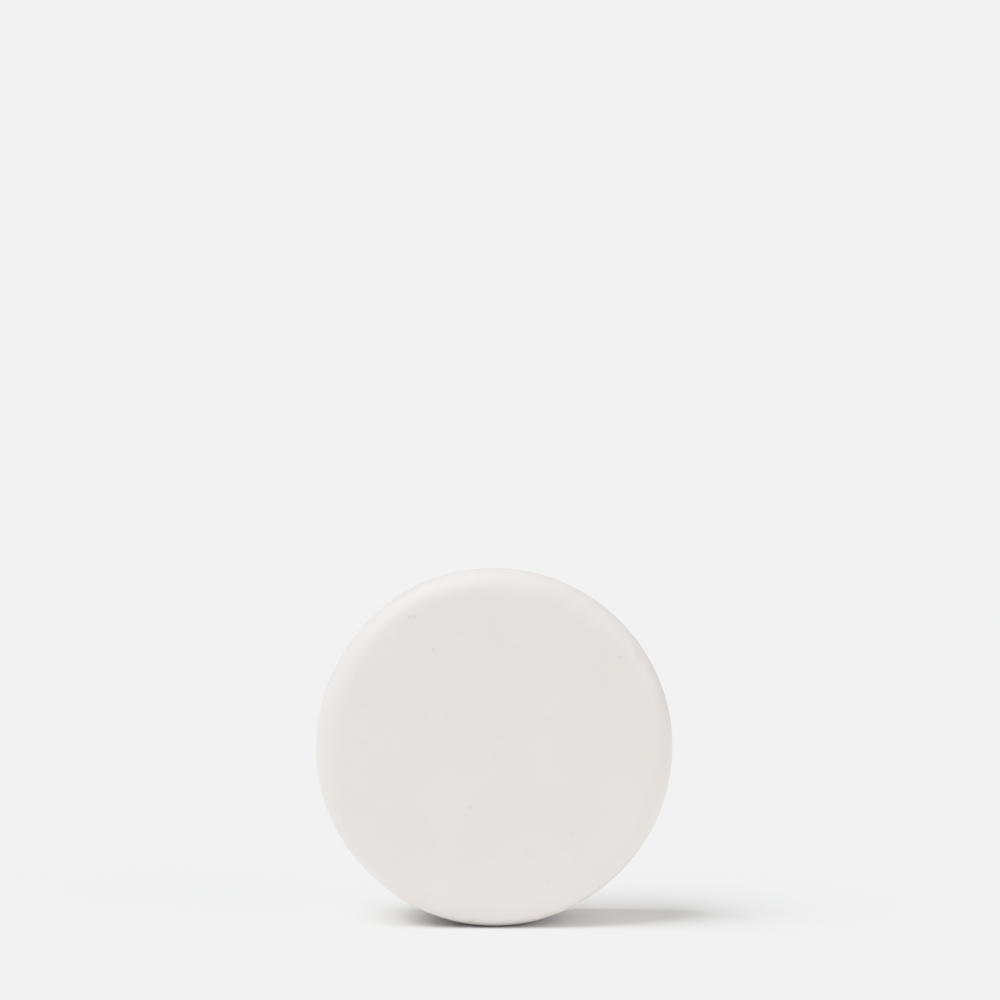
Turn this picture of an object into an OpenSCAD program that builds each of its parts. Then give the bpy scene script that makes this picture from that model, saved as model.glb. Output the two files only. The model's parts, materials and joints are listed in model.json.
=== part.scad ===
// Shaving soap puck: one solid disc of hard milled soap, standing on its side wall.
//
// Millimetres, +Z up. The puck's axis runs along Y and its front face looks towards -Y.
// The origin is where the side wall meets the surface that the puck stands on.

/* [Puck] */
// Diameter over the side wall
puck_d = 60; // [50:1:80]
// Thickness, from the front face's land to the back face's land
puck_t = 22; // [14:1:30]

/* [Edges] */
// Radius of the rounding between the front face and the side wall
front_edge_r = 4; // [1:0.5:6]
// Radius of the rounding between the back face and the side wall
back_edge_r = 4; // [1:0.5:6]

/* [Faces] */
// Width of the flat land round each face, which carries the puck when it lies down
land_w = 3; // [1:0.5:8]
// Depth of the shallow hollow inside each land, where the soap has shrunk as it dried
sink = 0.4; // [0.1:0.1:1]

/* [Hidden] */
$fn = 180;
// How many conical rings make up the curve of a hollow
hollow_rings = 12;
// How far a cutting shape runs past the section that it cuts
overrun = 1;
puck_r = puck_d / 2;

// Depth of a hollow of radius hollow_r at the distance x from the puck's axis: a parabola
function hollow_depth(x, hollow_r) = sink * (1 - pow(x / hollow_r, 2));

// What a rounding of radius r takes off a square corner that sits at the origin,
// with the soap to its left and below it
module corner_cut(r) {
    difference() {
        translate([-r, -r]) square(r + overrun);
        translate([-r, -r]) circle(r);
    }
}

// Half of the section of a hollow in a face at the height of the origin
module hollow_cut(hollow_r) {
    polygon([
        [-overrun, -sink],
        for (i = [0 : hollow_rings])
            let (x = hollow_r * i / hollow_rings) [x, -hollow_depth(x, hollow_r)],
        [hollow_r, overrun],
        [-overrun, overrun]
    ]);
}

// The rounding and the hollow of one face, for a face at the height of the origin
module face_cuts(edge_r) {
    translate([puck_r, 0]) corner_cut(edge_r);
    hollow_cut(puck_r - edge_r - land_w);
}

// Half of the puck's section: x is the distance from its axis, +y is the front
module half_section() {
    difference() {
        translate([0, -puck_t / 2]) square([puck_r, puck_t]);
        translate([0, puck_t / 2]) face_cuts(front_edge_r);
        translate([0, -puck_t / 2]) mirror([0, 1]) face_cuts(back_edge_r);
    }
}

// The whole puck, turned to stand on its side wall
module soap_puck() {
    color([0.90, 0.88, 0.87])
        translate([0, 0, puck_r])
            rotate([90, 0, 0])
                rotate_extrude() half_section();
}

soap_puck();
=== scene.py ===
"""A puck of hard shaving soap, standing on its side wall on a pale studio floor.

Lengths are in metres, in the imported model's own frame. The puck's axis runs along Y, its front
face looks towards -Y, and its side wall touches the floor at z = 0.
"""

import json
import math

import bpy
import numpy as np
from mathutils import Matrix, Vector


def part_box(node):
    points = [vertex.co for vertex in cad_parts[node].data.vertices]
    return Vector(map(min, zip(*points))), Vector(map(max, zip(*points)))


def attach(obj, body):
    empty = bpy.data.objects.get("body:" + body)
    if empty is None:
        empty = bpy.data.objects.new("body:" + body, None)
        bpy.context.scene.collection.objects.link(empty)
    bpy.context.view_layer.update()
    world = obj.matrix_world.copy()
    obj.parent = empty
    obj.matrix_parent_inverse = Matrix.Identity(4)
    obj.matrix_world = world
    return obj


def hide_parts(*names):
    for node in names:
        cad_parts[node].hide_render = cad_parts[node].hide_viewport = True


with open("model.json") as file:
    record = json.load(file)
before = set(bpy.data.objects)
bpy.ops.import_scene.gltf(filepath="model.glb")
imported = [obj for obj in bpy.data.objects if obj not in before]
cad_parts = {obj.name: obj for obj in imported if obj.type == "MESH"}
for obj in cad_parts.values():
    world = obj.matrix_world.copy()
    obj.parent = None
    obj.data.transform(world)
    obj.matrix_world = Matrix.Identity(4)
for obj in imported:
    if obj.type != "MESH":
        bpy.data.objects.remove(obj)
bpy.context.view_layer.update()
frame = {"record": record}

MM = 0.001
RANDOM = np.random.default_rng(61)

# ---------------------------------------------------------------- sizes of the puck
low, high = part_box("soap_puck")
rim = next(mount for mount in frame["record"]["mounts"] if mount["name"] == "rim")
RADIUS = rim["dims"]["r_mm"] * MM
WALL = rim["dims"]["length_mm"] * MM
THICKNESS = high.y - low.y
EDGE = (THICKNESS - WALL) / 2
FACE = RADIUS - EDGE
CENTRE = np.array([0.0, 0.0, RADIUS])
# Lengths along the section: round one edge, and from the middle of one face to the other's.
TURN = math.pi / 2 * EDGE
WHOLE = 2 * FACE + math.pi * EDGE + WALL
# The flat land round each face and the depth of the hollow inside it, as in the part's source.
LAND = 3 * MM
SINK = 0.4 * MM


# ---------------------------------------------------------------- the bare shape
def section(s):
    """The puck's section at the distance s along it, from the middle of the front face, over the
    front edge, the side wall and the back edge, to the middle of the back face.

    Out along the face to FACE, round a quarter circle of radius EDGE, straight along the side
    wall, round a second quarter circle and in to the middle. Gives the distance from the axis,
    the height towards the front, and the outward normal's two parts along the same.
    """
    stops = np.cumsum([0, FACE, TURN, WALL, TURN, FACE])
    angle = (np.clip(s - stops[1], 0, TURN) + np.clip(s - stops[3], 0, TURN)) / EDGE
    run = np.clip(s, 0, FACE) - np.clip(s - stops[4], 0, FACE)
    fall = np.clip(s - stops[2], 0, WALL)
    across = run + EDGE * np.sin(angle)
    front = WALL / 2 + EDGE * np.cos(angle) - fall
    return across, front, np.sin(angle), np.cos(angle)


def placed(s, direction):
    """Points and outward normals at the distance s along the section, where direction holds the
    unit vectors (x, z) that point away from the axis."""
    across, front, out, ahead = section(s)
    points = np.stack([across * direction[..., 0], -front, across * direction[..., 1]], -1)
    normals = np.stack([out * direction[..., 0], -ahead, out * direction[..., 1]], -1)
    return points + CENTRE, normals


def heading(degrees):
    """Unit vectors (x, z) at the given degrees from +X towards +Z."""
    angle = np.radians(degrees)
    return np.stack([np.cos(angle), np.sin(angle)], -1)


# ---------------------------------------------------------------- marks left on the soap
# Pinholes in the front face and its edge, left by air: across, up from the middle, radius and
# depth in millimetres. A negative depth is a crumb that stands proud.
FRONT_MARKS = [
    (-10.0, 24.3, 0.20, 0.12), (-13.9, 21.6, 0.30, 0.16), (-13.2, 21.5, 0.18, 0.10),
    (-10.0, 16.2, 0.24, 0.16), (-2.2, 14.3, 0.20, -0.12), (20.8, 14.9, 0.20, 0.16),
    (-4.0, -9.8, 0.30, 0.16), (-3.2, -10.1, 0.20, 0.10), (1.3, 1.9, 0.26, 0.08),
    (0.3, -0.7, 0.26, 0.10), (12.8, -14.2, 0.18, -0.09), (5.4, -16.9, 0.20, 0.09),
    (17.0, -19.5, 0.24, 0.07), (24.1, -11.5, 0.20, -0.10), (21.4, -16.5, 0.18, 0.09),
    (8.9, -22.2, 0.18, 0.09), (11.5, 2.9, 0.16, 0.06), (3.6, 21.0, 0.22, 0.05),
    (3.5, 16.6, 0.28, 0.07), (-8.1, 12.8, 0.18, 0.06), (12.1, 24.9, 0.20, 0.06),
    (-21.6, 6.8, 0.20, 0.06), (-21.5, 0.6, 0.20, 0.06), (-10.8, 1.2, 0.18, 0.06),
    (-6.1, 18.9, 0.34, 0.05), (-9.4, -21.6, 0.20, 0.06),
]
# How many more are drawn at random on the back face, and on the edges and side wall.
MARKS_BEHIND = 18
MARKS_AROUND = 34
# Their radii in millimetres, and their depths as shares of the radius.
MARK_SIZES = (0.16, 0.34)
MARK_DEPTHS = (0.25, 0.55)
# The depth at which a pinhole takes its full painted shade.
FULL_SHADE_DEPTH = 0.12 * MM
# The soap's unevenness: how many waves, their longest and shortest lengths, the height that they
# mostly stay within, and the middle level that they swing about, below the bare shape.
WAVE_COUNT = 14
WAVE_LONGEST = 34 * MM
WAVE_SHORTEST = 4 * MM
WAVE_HEIGHT = 0.03 * MM
WAVE_LEVEL = 0.04 * MM
# Soft flats round the side wall: degrees from +X towards +Z, half width in degrees and depth in
# millimetres.
FLATS = [(-52, 22, 0.17), (-132, 20, 0.12), (147, 18, 0.20), (45, 24, 0.12), (86, 22, 0.20)]
# Small knocks on the edges: degrees from +X towards +Z, distance along the section past the
# front face's own edge, radius and depth in millimetres.
KNOCKS = [
    (32, 3.4, 1.2, 0.20), (14, 3.8, 1.5, 0.10), (-20, 3.6, 1.1, 0.12), (128, 3.1, 1.0, 0.09),
    (205, 4.6, 1.3, 0.12), (262, 3.9, 0.9, 0.10), (75, 22.1, 1.4, 0.16), (168, 21.4, 1.1, 0.14),
    (-35, 22.6, 1.6, 0.18), (-110, 21.2, 0.9, 0.12), (110, 12.0, 1.8, 0.10), (-8, 15.5, 1.5, 0.09),
]
# The line where the two halves of the mould met, which stands a little proud round the wall.
MOULD_LINE = 0.05 * MM
MOULD_LINE_HALF = 0.28 * MM


def mark_list():
    """Every small mark's middle on the bare shape, its radius and its depth.

    FRONT_MARKS are given one by one. The others are drawn at random, evenly over the back face,
    and evenly along and round the edges and the side wall.
    """
    hand = np.array(FRONT_MARKS) * MM
    distance = np.hypot(hand[:, 0], hand[:, 1])
    front, _ = placed(distance, hand[:, :2] / distance[:, None])
    behind = WHOLE - FACE * np.sqrt(RANDOM.uniform(0, 0.92, MARKS_BEHIND))
    around = FACE + RANDOM.uniform(0.4 * EDGE, 2.7 * EDGE + WALL, MARKS_AROUND)
    s = np.concatenate([behind, around])
    others, _ = placed(s, heading(RANDOM.uniform(0, 360, len(s))))
    sizes = RANDOM.uniform(*MARK_SIZES, len(s)) * MM
    depths = sizes * RANDOM.uniform(*MARK_DEPTHS, len(s))
    middles = np.concatenate([front, others])
    return middles, np.append(hand[:, 2], sizes), np.append(hand[:, 3], depths)


def dents(points, middles, radii, depths):
    """How far small rounded dents take the surface inwards.

    Each is depth exp(-(d / radius)^4) at the distance d from its middle: a flat floor, steep
    sides and a soft brim.
    """
    total = np.zeros(len(points))
    for middle, radius, depth in zip(middles, radii, depths):
        total += depth * np.exp(-((np.linalg.norm(points - middle, axis=-1) / radius) ** 4))
    return total


def waves(points, count, longest, shortest, height):
    """A smooth random unevenness, mostly within +-height: the mean of count cosine waves in
    space, whose lengths lie between longest and shortest and whose heights follow their
    lengths."""
    ways = RANDOM.normal(size=(count, 3))
    ways /= np.linalg.norm(ways, axis=-1)[:, None]
    lengths = np.geomspace(longest, shortest, count)
    phases = RANDOM.uniform(0, 2 * math.pi, count)
    turns = points @ (ways * (2 * math.pi / lengths)[:, None]).T + phases
    return 2 * height * np.cos(turns) @ (lengths / lengths.sum())


def outline_loss(points):
    """How far the side wall lies inside a true circle: for each soft flat, its depth times
    exp(-(degrees from it / half width)^2)."""
    around = np.degrees(np.arctan2(points[:, 2] - CENTRE[2], points[:, 0]))
    loss = np.zeros(len(points))
    for direction, half_width, depth in FLATS:
        off = (around - direction + 180) % 360 - 180
        loss += depth * MM * np.exp(-((off / half_width) ** 2))
    return loss


# ---------------------------------------------------------------- the soap's mesh
FACE_CELLS = 170
EDGE_ROWS = 14
WALL_ROWS = 20
# Extra rows over the mould line, as distances from the middle of the wall.
LINE_ROWS = np.array([-0.6, -0.4, -0.2, 0.0, 0.2, 0.4, 0.6]) * MM
# How far round a mark the grid's points are drawn in, and how strongly.
GATHER_REACH = 1.0 * MM
GATHER_PULL = 0.66
# How near a face's plane a mark's middle has to be for that face's grid to gather round it.
NEAR_FACE = 0.5 * MM


def disc_grid(cells):
    """A square grid of points laid over the unit disc.

    With u and v from -1 to 1, x = u sqrt(1 - v^2 / 2) and z = v sqrt(1 - u^2 / 2), so that the
    square's border becomes the unit circle.
    """
    line = np.linspace(-1, 1, cells + 1)
    u, v = np.meshgrid(line, line, indexing="ij")
    return np.stack([u * np.sqrt(1 - v**2 / 2), v * np.sqrt(1 - u**2 / 2)], -1)


def border(cells):
    """The indices (i, j) of a square grid's border, once round and anticlockwise."""
    run, last, none = np.arange(cells), np.full(cells, cells), np.zeros(cells, int)
    i = np.concatenate([run, last, cells - run, none])
    j = np.concatenate([none, run, last, cells - run])
    return i, j


def gathered(flat, places):
    """Draws the unit disc's grid points towards each place, so that the mesh is finer there.

    A point p moves by pull (c - p) exp(-|p - c|^2 / reach^2) for each place c, and less near the
    rim of the disc, where it keeps its seat.
    """
    reach = GATHER_REACH / FACE
    loose = flat.reshape(-1, 2)
    gap = places[:, None, :] - loose
    weight = GATHER_PULL * np.exp(-np.sum(gap**2, -1) / reach**2)
    hold = np.clip((1 - np.linalg.norm(loose, axis=-1)) / (2 * reach), 0, 1)
    return (loose + hold[:, None] * np.sum(gap * weight[..., None], 0)).reshape(flat.shape)


def cap(start, sign, middles):
    """Points and normals of one face. start is where its middle lies along the section, and sign
    is the way outwards from there."""
    near = -sign * middles[:, 1] > THICKNESS / 2 - NEAR_FACE
    grid = gathered(disc_grid(FACE_CELLS), (middles[near] - CENTRE)[:, [0, 2]] / FACE)
    distance = np.linalg.norm(grid, axis=-1)
    away = grid / np.maximum(distance, 1e-9)[..., None]
    return placed(start + sign * FACE * distance, away)


def strip():
    """Points and normals of the rows between the two faces, over both edges and the wall. A row
    has a point for each point of a face's border, in the same direction."""
    edge = np.linspace(0, TURN, EDGE_ROWS + 1)[1:]
    plain = np.linspace(0, WALL, WALL_ROWS + 1)[1:]
    plain = plain[np.abs(plain - WALL / 2) > LINE_ROWS.max()]
    wall = np.sort(np.concatenate([plain, WALL / 2 + LINE_ROWS]))
    s = FACE + np.concatenate([edge, TURN + wall, TURN + WALL + edge[:-1]])
    away = disc_grid(FACE_CELLS)[border(FACE_CELLS)]
    away /= np.linalg.norm(away, axis=-1)[:, None]
    return placed(np.repeat(s[:, None], len(away), 1), np.broadcast_to(away, (len(s), *away.shape)))


def skin_faces(rows):
    """The four-cornered faces, as point numbers, of the closed skin: the front cap's grid, the
    back cap's grid and then the rows between them."""
    side = FACE_CELLS + 1
    numbers = np.arange(2 * side**2 + rows * 4 * FACE_CELLS)
    front, back = numbers[:2 * side**2].reshape(2, side, side)
    between = numbers[2 * side**2:].reshape(rows, -1)
    edge = border(FACE_CELLS)
    bands = np.concatenate([front[edge][None], between, back[edge][None]])
    after = np.roll(bands, -1, axis=1)
    quads = [np.stack([bands[:-1], bands[1:], after[1:], after[:-1]], -1)]
    for grid, order in ((front, 1), (back, -1)):
        corners = np.stack([grid[:-1, :-1], grid[1:, :-1], grid[1:, 1:], grid[:-1, 1:]], -1)
        quads.append(corners[..., ::order])
    return np.concatenate([q.reshape(-1, 4) for q in quads])


def soap_skin():
    """The puck's points and faces, and for each point how deep it lies in a pinhole, from 0 to 1,
    which sets how much shade is painted into the pinholes.

    Every point starts on the bare shape and moves inwards along its normal by the sum of: the
    face's hollow, sink (1 - (distance / hollow radius)^2); an unevenness; the flats; the wall
    beside the mould line, line (1 - exp(-(y / half width)^2)); the knocks; and the pinholes.
    Only a crumb's share goes outwards, and no point ends up past the bare shape.
    """
    middles, radii, depths = mark_list()
    rows = strip()
    parts = [cap(0, 1, middles), cap(WHOLE, -1, middles), rows]
    points = np.concatenate([p.reshape(-1, 3) for p, _ in parts])
    normals = np.concatenate([n.reshape(-1, 3) for _, n in parts])

    across = np.hypot(points[:, 0], points[:, 2] - CENTRE[2])
    facing = np.abs(normals[:, 1])
    sideways = np.hypot(normals[:, 0], normals[:, 2])
    hollow = SINK * np.clip(1 - (across / (FACE - LAND)) ** 2, 0, None) * facing
    swing = waves(points, WAVE_COUNT, WAVE_LONGEST, WAVE_SHORTEST, WAVE_HEIGHT)
    uneven = np.clip(WAVE_LEVEL - swing, 0, None)
    beside = MOULD_LINE * (1 - np.exp(-((points[:, 1] / MOULD_LINE_HALF) ** 2))) * sideways
    knocks = np.array(KNOCKS)
    knocked, _ = placed(FACE + knocks[:, 1] * MM, heading(knocks[:, 0]))
    worn = dents(points, knocked, knocks[:, 2] * MM, knocks[:, 3] * MM)
    holes = dents(points, middles, radii, depths)
    loss = hollow + uneven + outline_loss(points) * sideways + beside + worn + holes
    faces = skin_faces(rows[0].shape[0])
    return points - normals * loss[:, None], faces, np.clip(holes / FULL_SHADE_DEPTH, 0, 1)


def new_piece(name, points, faces):
    """A smooth-shaded mesh object made from whole arrays of points and faces."""
    mesh = bpy.data.meshes.new(name)
    mesh.from_pydata(points.tolist(), [], faces.tolist())
    mesh.polygons.foreach_set("use_smooth", np.ones(len(mesh.polygons), bool))
    mesh.update()
    piece = bpy.data.objects.new(name, mesh)
    bpy.context.scene.collection.objects.link(piece)
    return piece


# ---------------------------------------------------------------- materials
# How far the hairline scratches slant, in radians.
SCRATCH_SLANT = 0.7


class Shade:
    """The value of a shader socket. Sums, differences and products of it add Math nodes."""

    def __init__(self, paint, socket):
        self.paint = paint
        self.socket = socket

    def maths(self, operation, first, second):
        return self.paint.node("Math", {"operation": operation}, {0: first, 1: second})

    def __add__(self, other):
        return self.maths("ADD", self, other)

    def __sub__(self, other):
        return self.maths("SUBTRACT", self, other)

    def __rsub__(self, other):
        return self.maths("SUBTRACT", other, self)

    def __mul__(self, other):
        return self.maths("MULTIPLY", self, other)

    __radd__ = __add__
    __rmul__ = __mul__


class Paint:
    """A node tree that is being filled. node() adds a node and gives its output as a Shade."""

    def __init__(self, owner):
        owner.use_nodes = True
        self.owner = owner
        self.tree = owner.node_tree
        self.tree.nodes.clear()

    def node(self, kind, settings=None, inputs=None, output=0):
        """Adds a node, sets its settings, then fills its sockets with numbers or links."""
        made = self.tree.nodes.new("ShaderNode" + kind)
        for name, value in (settings or {}).items():
            setattr(made, name, value)
        for key, value in (inputs or {}).items():
            if isinstance(value, Shade):
                self.tree.links.new(value.socket, made.inputs[key])
            else:
                made.inputs[key].default_value = value
        return Shade(self, made.outputs[output]) if made.outputs else None

    def between(self, value, start, end):
        """0 where the value is at or below start, 1 at or above end, and smooth between them."""
        inputs = {"Value": value, "From Min": start, "From Max": end}
        return self.node("MapRange", {"interpolation_type": "SMOOTHSTEP"}, inputs)

    def blend(self, factor, first, second):
        """The first colour where factor is 0 and the second where it is 1."""
        return self.node("Mix", {"data_type": "RGBA"}, {0: factor, 6: first, 7: second}, 2)

    def stretched(self, where, scale):
        """A place multiplied by scale along X, Y and Z."""
        return self.node("VectorMath", {"operation": "MULTIPLY"}, {0: where, 1: scale})

    def length(self, vector):
        """How long a vector is."""
        return self.node("VectorMath", {"operation": "LENGTH"}, {0: vector}, "Value")

    def noise(self, where, scale, detail=2.0, roughness=0.5):
        """A cloudy value from 0 to 1 whose patches are about 1 / scale across."""
        inputs = {"Vector": where, "Scale": scale, "Detail": detail, "Roughness": roughness}
        return self.node("TexNoise", None, inputs)


def soap_material():
    """Milled soap: cream with faint clouds, a dry bloom and dark flecks, painted shade that darkens
    the pinholes, fine grain, hairline scratches on the faces, drag marks from the mould along the
    side wall, smoother edges where hands have held it, and light let in a little way."""
    paint = Paint(bpy.data.materials.new("milled_soap"))
    where = paint.node("TexCoord", output="Object")
    from_centre = paint.node("VectorMath", {"operation": "SUBTRACT"}, {0: where, 1: tuple(CENTRE)})
    across = paint.length(paint.stretched(from_centre, (1, 0, 1)))
    along = paint.length(paint.stretched(where, (0, 1, 0)))
    on_wall = paint.between(across, RADIUS - 0.8 * MM, RADIUS - 0.3 * MM)
    on_edge = paint.between(across, FACE, RADIUS - 1 * MM) * paint.between(along, 5 * MM, 8 * MM)
    # How deep the point lies in a pinhole, which sets the shade painted into the pinholes.
    hole_shade = paint.node("Attribute", {"attribute_name": "pinhole"}, None, "Fac")

    clouds = paint.noise(where, 85, 3)
    flecks = paint.between(paint.noise(where, 900, 1), 0.70, 0.78)
    bloom = paint.between(paint.noise(where, 160, 4, 0.6), 0.50, 0.72) * (0.25 + 0.75 * on_wall)
    milk = (0.818, 0.762, 0.744, 1)
    cream = (0.800, 0.745, 0.720, 1)
    chalk = (0.840, 0.798, 0.792, 1)
    # A darker tone for the random flecks, and the painted shade in the pinholes.
    fleck_and_hole_shade = (0.670, 0.612, 0.573, 1)
    colour = paint.blend(paint.between(clouds, 0.35, 0.65), cream, milk)
    colour = paint.blend(0.5 * bloom, colour, chalk)
    # Random darker flecks, plus painted shade that darkens the pinholes more the deeper they go.
    colour = paint.blend(0.10 * flecks + 0.25 * hole_shade, colour, fleck_and_hole_shade)

    grain = paint.noise(where, 2600, 3, 0.6)
    ripple = paint.noise(where, 420, 2)
    drag = paint.noise(paint.stretched(where, (1, 0.05, 1)), 1500, 2)
    turned = {"Vector": where, "Rotation": (0, SCRATCH_SLANT, 0), "Scale": (0.06, 1, 1)}
    scratch = paint.noise(paint.node("Mapping", None, turned), 5200, 1)
    hairline = paint.between(scratch, 0.70, 0.76) * (1 - on_wall)
    height = 0.5 * grain + 0.9 * ripple + 0.9 * (drag * on_wall) - 0.8 * hairline
    bump = paint.node("Bump", None, {"Strength": 0.6, "Distance": 0.04 * MM, "Height": height})
    rough = 0.43 + 0.12 * (clouds - 0.5) + 0.10 * bloom - 0.08 * on_edge + 0.05 * grain
    skin = paint.node("BsdfPrincipled", None, {
        "Base Color": colour, "Roughness": rough, "Normal": bump, "IOR": 1.46,
        "Subsurface Weight": 0.6, "Subsurface Radius": (1.0, 0.8, 0.65), "Subsurface Scale": 3 * MM})
    paint.node("OutputMaterial", None, {"Surface": skin})
    return paint.owner


def floor_material():
    """Matte white paper."""
    paint = Paint(bpy.data.materials.new("paper_floor"))
    skin = paint.node("BsdfDiffuse", None, {"Color": (0.977, 0.97, 0.97, 1)})
    paint.node("OutputMaterial", None, {"Surface": skin})
    return paint.owner


# ---------------------------------------------------------------- light and camera
# Brightness of each light, as the tone that it gives to a perfect white card held square to it.
# SKY is the even light from all round.
KEY = 0.755
RIGHT = 0.19
SKY = 0.436
# Where each lamp stands: degrees round from the camera's side towards the left, degrees above
# the floor, and how wide it looks, in degrees.
KEY_PLACE = (64, 60, 50)
RIGHT_PLACE = (-60, 25, 40)
KEY_COLOUR = (0.94, 1.0, 0.985)
RIGHT_COLOUR = (1.0, 1.0, 1.0)
# The backdrop's tone, past the end of the floor.
BACKDROP = 1.16
# The tone at which paper stays however bright it is lit, and where the print starts to hold back.
PAPER_WHITE = 0.888
SHOULDER = 0.60
# The brightest tone that the print's curve is drawn to, and how many points draw its bend.
BRIGHTEST = 2
BEND_POINTS = 17
# Half the side of the floor.
FLOOR_HALF = 6.0
# The camera's place, its focal length and film width in millimetres, and its tilt up in degrees.
EYE = (0.001, -0.348, 0.060)
FOCAL = 73
FILM = 36
TILT_UP = 1.885


def lamp(name, place, tone, colour):
    """A soft lamp far away, at a place given as (degrees round, degrees up, degrees wide)."""
    around, up, wide = np.radians(place)
    data = bpy.data.lights.new(name, "SUN")
    data.energy = tone * math.pi
    data.angle = wide
    data.color = colour
    made = bpy.data.objects.new(name, data)
    bpy.context.scene.collection.objects.link(made)
    made.rotation_euler = (math.pi / 2 - up, 0, -around)


def print_curve(view):
    """The print's tone curve. Tones up to SHOULDER are kept, and then a parabola whose slope
    falls from 1 to 0 takes them to PAPER_WHITE, where everything brighter stays."""
    view.view_transform = "Standard"
    view.use_curve_mapping = True
    view.curve_mapping.clip_max_x = BRIGHTEST
    curve = view.curve_mapping.curves[3]
    rise = PAPER_WHITE - SHOULDER
    steps = np.linspace(0, 2 * rise, BEND_POINTS)
    tones = SHOULDER + steps - steps**2 / (4 * rise)
    curve.points[0].location = (0, 0)
    curve.points[1].location = (BRIGHTEST, PAPER_WHITE)
    for x, y in zip(SHOULDER + steps, tones):
        curve.points.new(x, y)
    for point in curve.points:
        point.handle_type = "VECTOR"
    view.curve_mapping.update()


def studio():
    """A large paper floor under an even sky, with one large soft lamp high on the left and a weak
    one on the right. The backdrop past the floor is as bright as the paper."""
    corners = FLOOR_HALF * np.array([(-1, -1, 0), (1, -1, 0), (1, 1, 0), (-1, 1, 0)])
    floor = new_piece("floor", corners, np.array([[0, 1, 2, 3]]))
    floor.data.materials.append(floor_material())
    lamp("key_lamp", KEY_PLACE, KEY, KEY_COLOUR)
    lamp("right_lamp", RIGHT_PLACE, RIGHT, RIGHT_COLOUR)
    world = bpy.data.worlds.new("sky")
    bpy.context.scene.world = world
    paint = Paint(world)
    seen = paint.node("LightPath", output="Is Camera Ray")
    light = paint.node("Background", None, {"Color": (SKY, SKY, SKY, 1)})
    paper = paint.node("Background", None, {"Color": (BACKDROP, BACKDROP, BACKDROP, 1)})
    both = paint.node("MixShader", None, {0: seen, 1: light, 2: paper})
    paint.node("OutputWorld", None, {"Surface": both})
    print_curve(bpy.context.scene.view_settings)


def camera():
    """The camera stands level with the top of the puck and tips up a little, which puts the puck
    low in the frame."""
    data = bpy.data.cameras.new("camera")
    data.lens = FOCAL
    data.sensor_width = FILM
    data.clip_start, data.clip_end = 0.01, 100
    eye = bpy.data.objects.new("camera", data)
    bpy.context.scene.collection.objects.link(eye)
    eye.location = EYE
    eye.rotation_euler = (math.radians(90 + TILT_UP), 0, 0)
    bpy.context.scene.camera = eye


points, faces, pinholes = soap_skin()
puck = new_piece("soap", points, faces)
# The pinhole attribute sets how much shade is painted into the pinholes.
puck.data.attributes.new("pinhole", "FLOAT", "POINT").data.foreach_set("value", pinholes)
puck.data.materials.append(soap_material())
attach(puck, "root")
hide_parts("soap_puck")
studio()
camera()
